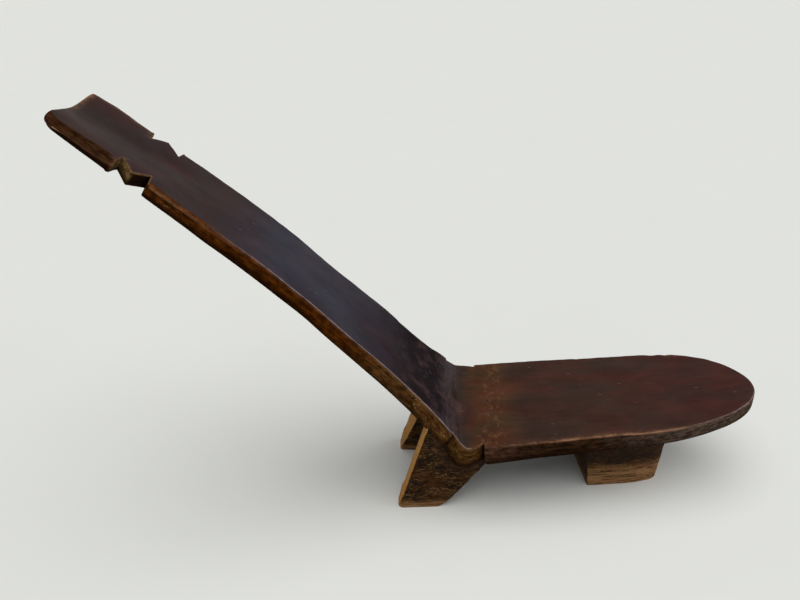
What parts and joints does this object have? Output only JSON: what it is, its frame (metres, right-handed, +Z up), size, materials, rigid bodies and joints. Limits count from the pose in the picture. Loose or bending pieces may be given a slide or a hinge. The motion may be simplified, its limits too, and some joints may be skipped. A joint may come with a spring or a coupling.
{
  "type": "lobi chair",
  "caption": "Low reclining chair carved from one piece of wood: a long notched back with a dished head, a thick bend, a round-nosed seat, rear legs and a front foot.",
  "frame": {"origin": "on the floor, under the middle of the chair's length and width", "axes": "+X from the head end to the nose of the seat, +Y to the sitter's left, +Z up"},
  "size_m": [1.0984, 0.242, 0.7505],
  "materials": {
    "back_wood": "very dark, smooth and polished by use",
    "seat_wood": "dark red-brown, smooth, with worn edges",
    "leg_wood": "rough adzed wood with worn soles"
  },
  "bodies": {
    "root": {"head_rest": "back_wood", "toothed_neck": "back_wood", "back_slab": "back_wood", "waist": "back_wood", "seat_slab": "seat_wood", "rear_leg_left": "leg_wood", "rear_leg_right": "leg_wood", "front_foot": "leg_wood"}
  },
  "joints": []
}
